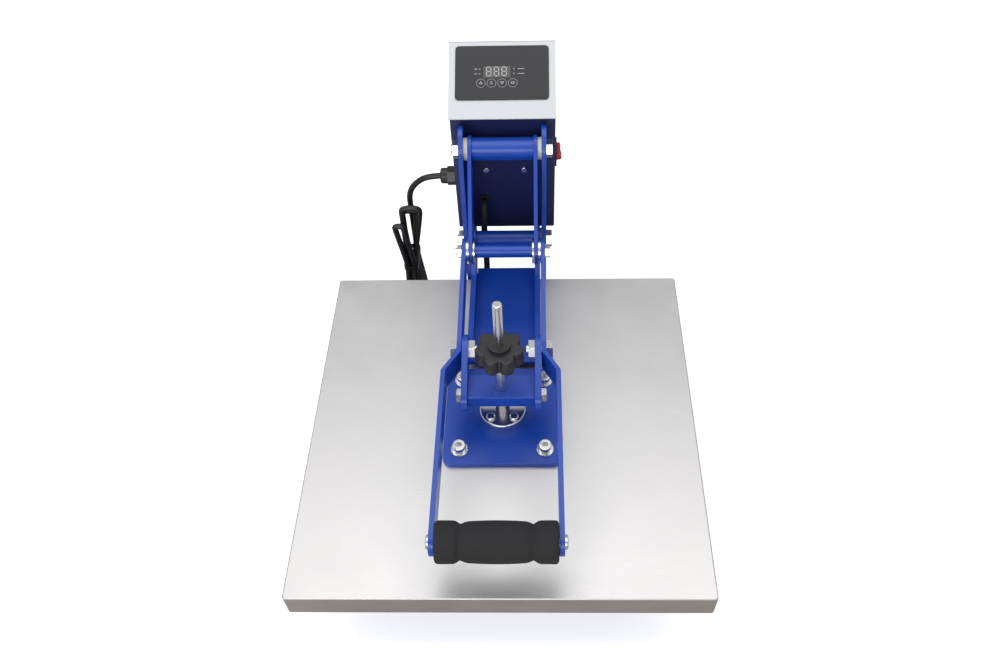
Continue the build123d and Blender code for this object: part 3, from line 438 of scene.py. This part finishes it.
class PanelPrint:
    """The print, digits and marks on the control panel."""

    DIGITS = 3
    LEVEL_STROKES: tuple[Point, ...] = ((0.5, 0.0), (0.5, 0.5), (0.5, 1.0))
    UPRIGHT_STROKES: tuple[Point, ...] = ((0.0, 0.25), (1.0, 0.25), (0.0, 0.75), (1.0, 0.75))
    SYMBOLS: dict[str, tuple[tuple[Point, ...], ...]] = {
        "button_up": (((-1.6, 1.1), (0.0, -1.7), (1.6, 1.1), (-1.6, 1.1)),),
        "button_mode": (((-1.5, -1.0), (1.5, -1.0)), ((-1.5, 1.0), (1.5, 1.0))),
        "button_down": (((-1.6, -1.1), (0.0, 1.7), (1.6, -1.1), (-1.6, -1.1)),),
        "button_set": (((-1.5, -0.9), (1.5, -0.9), (1.5, 0.9), (-1.5, 0.9), (-1.5, -0.9)),),
    }

    def __init__(self, face: FaceFrame, size: PrintSize) -> None:
        """Keeps the face and the sizes, and mixes the print's colour.

        Args:
            face: The box's sloping face.
            size: The print's sizes.
        """
        self.face = face
        self.size = size
        self.white = print_paint("panel_print", (0.42, 0.43, 0.44), 0.0)

    def _stroke(self, mesh: bmesh.types.BMesh, a: Point, b: Point, width: float,
                lift: float) -> None:
        """Adds a straight stroke with a little thickness.

        Args:
            mesh: The mesh that it is added to.
            a: Its start, across and down the face.
            b: Its end.
            width: Its width.
            lift: Its top's height above the face.
        """
        dx, dy = b[0] - a[0], b[1] - a[1]
        reach = width / 2 / math.hypot(dx, dy)
        nx, ny = -dy * reach, dx * reach
        corners = ((a[0] + nx, a[1] + ny), (b[0] + nx, b[1] + ny),
                   (b[0] - nx, b[1] - ny), (a[0] - nx, a[1] - ny))
        low = lift - self.size.thickness
        face = mesh.faces.new([mesh.verts.new(self.face.place(x, y, low)) for x, y in corners])
        raised = bmesh.ops.extrude_face_region(mesh, geom=[face])["geom"]
        bmesh.ops.translate(
            mesh, verts=[part for part in raised if isinstance(part, bmesh.types.BMVert)],
            vec=self.face.outward * self.size.thickness * MM)

    def _line(self, mesh: bmesh.types.BMesh, path: tuple[Point, ...], width: float,
              lift: float) -> None:
        """Adds a stroke between each two neighbouring points of a path.

        Args:
            mesh: The mesh that they are added to.
            path: The points, across and down the face.
            width: The strokes' width.
            lift: Their top's height above the face.
        """
        for a, b in zip(path, path[1:]):
            self._stroke(mesh, a, b, width, lift)

    def _digits(self) -> None:
        """Adds the display's digits."""
        s = self.size
        mesh = bmesh.new()
        for digit in range(self.DIGITS):
            left = s.digit_left + digit * s.digit_pitch
            for strokes, half_x, half_y in (
                (self.LEVEL_STROKES, s.flat_length / 2, 0.0),
                (self.UPRIGHT_STROKES, 0.0, s.upright_length / 2),
            ):
                for across, down in strokes:
                    x, y = left + across * s.digit_width, s.digit_top + down * s.digit_height
                    self._stroke(mesh, (x - half_x, y - half_y), (x + half_x, y + half_y),
                                 s.digit_stroke, s.digit_lift)
        bmesh.ops.recalc_face_normals(mesh, faces=mesh.faces)
        add_mesh("display_digits", mesh, print_paint("digit_glow", (0.36, 0.36, 0.38), 0.1),
                 "stand")

    def _marks(self) -> None:
        """Adds the rings round the buttons and the small marks beside the display."""
        s = self.size
        mesh = bmesh.new()
        turns = [2 * math.pi * step / s.ring_steps for step in range(s.ring_steps + 1)]
        for x in s.button_xs:
            ring = tuple((x + s.ring_r * math.cos(turn), s.button_drop + s.ring_r * math.sin(turn))
                         for turn in turns)
            self._line(mesh, ring, s.ring_stroke, s.print_lift)
        for drop in s.mark_drops:
            for left, right in s.mark_spans:
                self._stroke(mesh, (left, drop), (right, drop), s.mark_stroke, s.print_lift)
        bmesh.ops.recalc_face_normals(mesh, faces=mesh.faces)
        add_mesh("panel_marks", mesh, self.white, "stand")

    def _symbols(self) -> None:
        """Adds each button's symbol, which moves with the button."""
        s = self.size
        for x, (button, paths) in zip(s.button_xs, self.SYMBOLS.items()):
            mesh = bmesh.new()
            for path in paths:
                placed = tuple((x + across, s.button_drop + down) for across, down in path)
                self._line(mesh, placed, s.symbol_stroke, s.symbol_lift)
            bmesh.ops.recalc_face_normals(mesh, faces=mesh.faces)
            add_mesh(f"{button}_symbol", mesh, self.white, button)

    def build(self) -> None:
        """Adds the digits, marks and button symbols."""
        self._digits()
        self._marks()
        self._symbols()


@dataclass(frozen=True)
class GripSize:
    """Sizes of the foam grip, in millimetres.

    Args:
        half: Half of the grip's length.
        flange_r: Radius of the end flanges.
        neck_r: Radius of the necks inside the flanges.
        crown_r: Radius of the crowned middle.
        bore_r: Radius of the bore.
        y: The grip axis's place from front to rear.
        z: The axis's height.
        facets: Number of steps round the grip.
    """

    half: float = 53.0
    flange_r: float = 18.3
    neck_r: float = 15.2
    crown_r: float = 18.2
    bore_r: float = 5.3
    y: float = -233.0
    z: float = 175.0
    facets: int = 72


class Grip:
    """The crowned foam grip with its end flanges."""

    def __init__(self, size: GripSize, library: MaterialLibrary) -> None:
        """Keeps the sizes and the materials."""
        self.size = size
        self.library = library

    def profile(self) -> list[tuple[float, float]]:
        """The grip's outline.

        Returns:
            Points (x, radius) from left to right, in millimetres.
        """
        s = self.size
        flange = [
            (0.0, s.bore_r), (0.0, s.flange_r - 2.6), (0.7, s.flange_r - 0.9),
            (2.2, s.flange_r - 0.1), (5.0, s.flange_r), (15.5, s.flange_r - 0.1),
            (18.0, s.flange_r - 0.8),
        ]
        neck = [
            (20.0, s.neck_r + 1.0), (21.6, s.neck_r), (23.4, s.neck_r + 0.7),
            (25.4, s.crown_r - 1.4), (28.5, s.crown_r - 0.7),
        ]
        crown = [(16.0, s.crown_r - 0.25), (8.0, s.crown_r), (0.0, s.crown_r + 0.1)]
        half = [(s.half - inset, r) for inset, r in flange + neck] + crown
        return [(-x, r) for x, r in half] + [(x, r) for x, r in reversed(half[:-1])]

    def build(self) -> bpy.types.Object:
        """Spins the outline round the grip's axis.

        Returns:
            The grip.
        """
        s = self.size
        mesh = bmesh.new()
        verts = [mesh.verts.new(Vector((x, s.y + r, s.z)) * MM) for x, r in self.profile()]
        edges = [mesh.edges.new(pair) for pair in zip(verts, verts[1:])]
        edges.append(mesh.edges.new((verts[-1], verts[0])))
        bmesh.ops.spin(mesh, geom=verts + edges, cent=Vector((0, s.y, s.z)) * MM, axis=(1, 0, 0),
                       angle=2 * math.pi, steps=s.facets, use_merge=True, use_duplicate=False)
        bmesh.ops.remove_doubles(mesh, verts=mesh.verts, dist=1e-6)
        bmesh.ops.recalc_face_normals(mesh, faces=mesh.faces)
        grip = add_mesh("foam_grip", mesh, self.library["foam"], "lever")
        for face in grip.data.polygons:
            face.use_smooth = True
        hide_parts("hand_grip")
        return grip


@dataclass(frozen=True)
class CordSize:
    """Places and sizes of the mains cord, in millimetres.

    Args:
        radius: Half of the cord's thickness.
        start: Where the cord leaves its gland.
        hank: The hank's axis at the tie.
        layers: Number of layers, from the rear to the front.
        layer: Distance from one layer to the next.
        turn: Radius of the lower turns.
        waist: Half width of the strands' middles at the tie.
        entry: Height above the tie where the free stretch joins.
        floor_gap: Clearance of the lowest turn from the table.
        tops: Height, offset and radius of each upper turn.
        hold: Half height of the strands' straight stretch at the tie.
    """

    radius: float = 3.5
    start: Place = (-68.0, 208.0, 205.0)
    hank: Place = (-120.0, 205.0, 76.0)
    layers: int = 5
    layer: float = 8.0
    turn: float = 9.5
    waist: float = 4.3
    entry: float = 48.0
    floor_gap: float = 0.4
    tops: tuple[Place, ...] = (
        (62.0, 2.0, 8.5), (70.0, 5.0, 9.0), (79.0, 7.5, 10.5), (63.0, -7.5, 5.0),
    )
    hold: float = 7.0


class MainsCord:
    """The mains cord: the free stretch, the tied hank and the tail to the plug."""

    LENGTH = 1.55

    def __init__(self, size: CordSize, library: MaterialLibrary) -> None:
        """Keeps the sizes and the materials."""
        self.size = size
        self.library = library

    def _hank(self, along: float, across: float, layer: float) -> Place:
        """A point of the hank.

        Args:
            along: Height above the tie.
            across: Distance to the right of the hank's axis.
            layer: The layer, counted from the rear.

        Returns:
            The point in millimetres.
        """
        x, y, z = self.size.hank
        depth = (self.size.layers - 1) / 2 - layer
        return x + across, y + depth * self.size.layer, z + along

    def route(self) -> list[Place]:
        """The cord's control points, from the gland to the plug.

        Returns:
            The points in millimetres.
        """
        s = self.size
        x, y, z = s.start
        entry = self._hank(s.entry, s.waist, 0)
        points = [
            s.start, (x - 20.0, y, z), (entry[0] + 11.0, y + 3.0, z - 13.0),
            (entry[0] + 1.0, y + 8.0, z - 33.0), (entry[0], entry[1], entry[2] + 18.0), entry,
        ]
        bottom = s.radius + s.floor_gap + s.turn - s.hank[2]
        hold = s.hold
        for layer, (height, across, radius) in enumerate(s.tops):
            up = layer + 1
            points += [self._hank(*p) for p in (
                (hold, s.waist, layer), (-hold, s.waist, layer),
                (bottom, s.turn, layer), (bottom - s.turn, s.turn, layer),
                (bottom - s.turn, -s.turn, layer), (bottom, -s.turn, layer),
                (-hold, -s.waist, up), (hold, -s.waist, up),
                (height, across - radius, up), (height + radius, across - radius, up),
                (height + radius, across + radius, up), (height, across + radius, up),
            )]
        end = self._hank(-hold, s.waist, s.layers - 1)
        lie = s.radius + s.floor_gap
        points += [
            self._hank(hold, s.waist, s.layers - 1), end, (end[0], end[1], 42.0),
            (end[0] - 0.5, end[1] - 11.0, 15.0), (end[0] - 3.0, end[1] - 31.0, lie),
            (end[0] - 12.0, end[1] - 48.0, lie + 1.2), (end[0] - 24.0, end[1] - 61.0, 9.5),
            (end[0] - 36.0, end[1] - 73.0, 9.5),
        ]
        return points

    def build(self) -> bpy.types.Object:
        """Adds the cord as one curve.

        Returns:
            The cord.
        """
        points = self.route()
        data = bpy.data.curves.new("mains_cord", "CURVE")
        data.dimensions = "3D"
        data.bevel_depth = self.size.radius * MM
        data.bevel_resolution = 5
        data.resolution_u = 8
        data.use_fill_caps = True
        spline = data.splines.new("NURBS")
        spline.points.add(len(points) - 1)
        for target, point in zip(spline.points, points):
            target.co = (*(v * MM for v in point), 1.0)
        spline.order_u = 3
        spline.use_endpoint_u = True
        data.materials.append(self.library["pvc"])
        cord = bpy.data.objects.new("mains_cord", data)
        bpy.context.scene.collection.objects.link(cord)
        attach(cord, "stand")
        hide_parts("power_cord", "power_cord_hank")
        LOG.info("added %s", cord.name)
        return cord


class HeaterLead:
    """The braided lead between the housing and the upper platen."""

    RADIUS = 3.5
    ROUTE = (
        (-24.0, 187.5, 186.0), (-24.0, 174.5, 186.0), (-25.0, 170.0, 162.0), (-25.0, 167.0, 138.0),
        (-24.0, 164.0, 114.0), (-24.0, 154.0, 98.0), (-24.0, 135.5, 98.0),
    )
    STEPS = 8
    SIDES = 20

    def __init__(self, library: MaterialLibrary) -> None:
        """Keeps the materials."""
        self.library = library

    def centre_line(self) -> list[Vector]:
        """Points along the quadratic curve that the route's points draw.

        Returns:
            The points in metres.
        """
        points = [Vector(p) * MM for p in self.ROUTE]
        middles = [(a + b) / 2 for a, b in zip(points, points[1:])]
        line = [points[0]]
        for start, corner, end in zip(middles, points[1:-1], middles[1:]):
            for step in range(self.STEPS):
                t = step / self.STEPS
                line.append(start * (1 - t) ** 2 + corner * 2 * t * (1 - t) + end * t ** 2)
        return line + [middles[-1], points[-1]]

    def build(self) -> bpy.types.Object:
        """Sweeps a ring along the centre line.

        Returns:
            The lead.
        """
        line = self.centre_line()
        mesh = bmesh.new()
        rings = []
        side = Vector((1, 0, 0))
        for i, at in enumerate(line):
            ahead = (line[min(i + 1, len(line) - 1)] - line[max(i - 1, 0)]).normalized()
            side = (side - ahead * side.dot(ahead)).normalized()
            other = ahead.cross(side)
            rings.append([
                mesh.verts.new(at + (side * math.cos(a) + other * math.sin(a)) * self.RADIUS * MM)
                for a in (2 * math.pi * k / self.SIDES for k in range(self.SIDES))
            ])
        for low, high in zip(rings, rings[1:]):
            for k in range(self.SIDES):
                j = (k + 1) % self.SIDES
                mesh.faces.new((low[k], low[j], high[j], high[k]))
        mesh.faces.new(rings[0])
        mesh.faces.new(list(reversed(rings[-1])))
        bmesh.ops.recalc_face_normals(mesh, faces=mesh.faces)
        data = bpy.data.meshes.new("braided_lead")
        mesh.to_mesh(data)
        mesh.free()
        for face in data.polygons:
            face.use_smooth = True
        data.materials.append(self.library["braid"])
        lead = bpy.data.objects.new("braided_lead", data)
        bpy.context.scene.collection.objects.link(lead)
        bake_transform(lead)
        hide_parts("heater_lead")
        LOG.info("added %s", lead.name)
        return lead


class StudioCamera:
    """The camera: its place in metres, its angles in degrees and its lens in millimetres."""

    PLACE = Vector((0.0354, -0.5886, 0.883))
    PITCH, YAW, ROLL = 49.99, -2.18, 1.979
    LENS = 32.57
    SENSOR = 36.0
    SHIFT = -0.0151
    NEAR = 0.01

    def build(self) -> bpy.types.Object:
        """Creates the camera and makes it the scene's.

        Returns:
            The camera.
        """
        pitch, yaw, roll = (math.radians(v) for v in (self.PITCH, self.YAW, self.ROLL))
        level = math.cos(pitch)
        forward = Vector((math.sin(yaw) * level, math.cos(yaw) * level, -math.sin(pitch)))
        right = Vector((math.cos(yaw), -math.sin(yaw), 0.0))
        down = forward.cross(right)
        right, down = (
            right * math.cos(roll) + down * math.sin(roll),
            down * math.cos(roll) - right * math.sin(roll),
        )
        data = bpy.data.cameras.new("camera")
        data.lens = self.LENS
        data.sensor_width = self.SENSOR
        data.shift_x = self.SHIFT
        data.clip_start = self.NEAR
        camera = bpy.data.objects.new("camera", data)
        matrix = Matrix((right, -down, -forward)).transposed().to_4x4()
        matrix.translation = self.PLACE
        camera.matrix_world = matrix
        bpy.context.scene.collection.objects.link(camera)
        bpy.context.scene.camera = camera
        return camera


@dataclass(frozen=True)
class AreaLight:
    """A rectangular studio light.

    Args:
        name: The light's name.
        place: Where it hangs, in metres.
        aim: The point that it faces.
        size: Its width and height in metres.
        power: Its power in watts.
    """

    name: str
    place: Place
    aim: Place
    size: Point
    power: float


class Studio:
    """Floor, lights and background."""

    LIGHTS = (
        AreaLight("top_light", (-0.1, 0.25, 2.1), (-0.1, 0.05, 0.1), (2.8, 1.6), 24.0),
        AreaLight("front_light", (-0.6, -2.0, 1.1), (0.0, 0.0, 0.0), (1.8, 0.8), 22.0),
    )
    SKY = (0.93, 0.95, 1.0, 1.0)
    SKY_STRENGTH = 0.6
    WHITE = (1.0, 1.0, 1.0, 1.0)
    FLOOR_HALF = 6.0
    FLOOR_DROP = 0.0005
    FLOOR_PAINT = (0.95, 0.95, 0.95, 1.0)
    FLOOR_MIRRORED = (0.36, 0.33, 0.3, 1.0)
    FLOOR_GLOW = 0.42

    def __init__(self) -> None:
        """Keeps the scene."""
        self.scene = bpy.context.scene

    def _area(self, spec: AreaLight) -> None:
        """Adds a rectangular light aimed at its point.

        Args:
            spec: The light's place, size and power.
        """
        data = bpy.data.lights.new(spec.name, "AREA")
        data.shape = "RECTANGLE"
        data.size, data.size_y = spec.size
        data.energy = spec.power
        light = bpy.data.objects.new(spec.name, data)
        light.location = spec.place
        aim = Vector(spec.aim) - Vector(spec.place)
        light.rotation_euler = aim.to_track_quat("-Z", "Y").to_euler()
        self.scene.collection.objects.link(light)

    def _world(self) -> None:
        """Adds a pale blue surround that the camera sees as pure white."""
        world = bpy.data.worlds.new("surround")
        self.scene.world = world
        world.use_nodes = True
        nodes, links = world.node_tree.nodes, world.node_tree.links
        nodes.clear()
        out = nodes.new("ShaderNodeOutputWorld")
        lit, seen = nodes.new("ShaderNodeBackground"), nodes.new("ShaderNodeBackground")
        lit.inputs["Color"].default_value = self.SKY
        lit.inputs["Strength"].default_value = self.SKY_STRENGTH
        seen.inputs["Color"].default_value = self.WHITE
        seen.inputs["Strength"].default_value = 1.0
        path = nodes.new("ShaderNodeLightPath")
        mix = nodes.new("ShaderNodeMixShader")
        links.new(path.outputs["Is Camera Ray"], mix.inputs["Fac"])
        links.new(lit.outputs[0], mix.inputs[1])
        links.new(seen.outputs[0], mix.inputs[2])
        links.new(mix.outputs[0], out.inputs["Surface"])

    def _floor_material(self) -> bpy.types.Material:
        """Makes a pale paint, darker in reflections and lifted to white for the camera.

        Returns:
            The material.
        """
        material = bpy.data.materials.new("floor_paint")
        material.use_nodes = True
        nodes, links = material.node_tree.nodes, material.node_tree.links
        shader = nodes["Principled BSDF"]
        shader.inputs["Roughness"].default_value = 0.9
        shader.inputs["Specular IOR Level"].default_value = 0.1
        shader.inputs["Emission Color"].default_value = self.WHITE
        path = nodes.new("ShaderNodeLightPath")
        tone = nodes.new("ShaderNodeMix")
        tone.data_type = "RGBA"
        tone.inputs["A"].default_value = self.FLOOR_PAINT
        tone.inputs["B"].default_value = self.FLOOR_MIRRORED
        links.new(path.outputs["Is Glossy Ray"], tone.inputs["Factor"])
        links.new(tone.outputs["Result"], shader.inputs["Base Color"])
        glow = nodes.new("ShaderNodeMath")
        glow.operation = "MULTIPLY"
        glow.inputs[1].default_value = self.FLOOR_GLOW
        links.new(path.outputs["Is Camera Ray"], glow.inputs[0])
        links.new(glow.outputs[0], shader.inputs["Emission Strength"])
        return material

    def _floor(self) -> None:
        """Adds the floor below the press."""
        mesh = bmesh.new()
        bmesh.ops.create_grid(mesh, x_segments=1, y_segments=1, size=self.FLOOR_HALF)
        data = bpy.data.meshes.new("floor")
        mesh.to_mesh(data)
        mesh.free()
        data.materials.append(self._floor_material())
        floor = bpy.data.objects.new("floor", data)
        floor.location.z = -self.FLOOR_DROP
        self.scene.collection.objects.link(floor)

    def build(self) -> None:
        """Sets up the studio and the plain view transform."""
        self._world()
        self._floor()
        for spec in self.LIGHTS:
            self._area(spec)
        self.scene.view_settings.view_transform = "Standard"
        LOG.info("set up the studio")


class HeatPress:
    """The press: CAD nodes with their finishes, and the pieces that replace some."""

    def __init__(self, library: MaterialLibrary) -> None:
        """Keeps the materials."""
        self.library = library

    def dress(self) -> None:
        """Gives every CAD node the finish of its slot."""
        slots = {entry["node"]: entry["material_slot"] for entry in frame["record"]["subparts"]}
        for name, node in frame["nodes"].items():
            node.data.materials.clear()
            node.data.materials.append(self.library[slots[name]])
        LOG.info("dressed %d nodes", len(frame["nodes"]))

    def build(self) -> None:
        """Builds the press."""
        self.dress()
        PanelPrint(FaceFrame(), PrintSize()).build()
        Grip(GripSize(), self.library).build()
        MainsCord(CordSize(), self.library).build()
        HeaterLead(self.library).build()


def main() -> None:
    """Builds the scene."""
    logging.basicConfig(level=logging.INFO)
    Studio().build()
    StudioCamera().build()
    HeatPress(MaterialLibrary(FINISHES)).build()


if __name__ == "__main__":
    main()
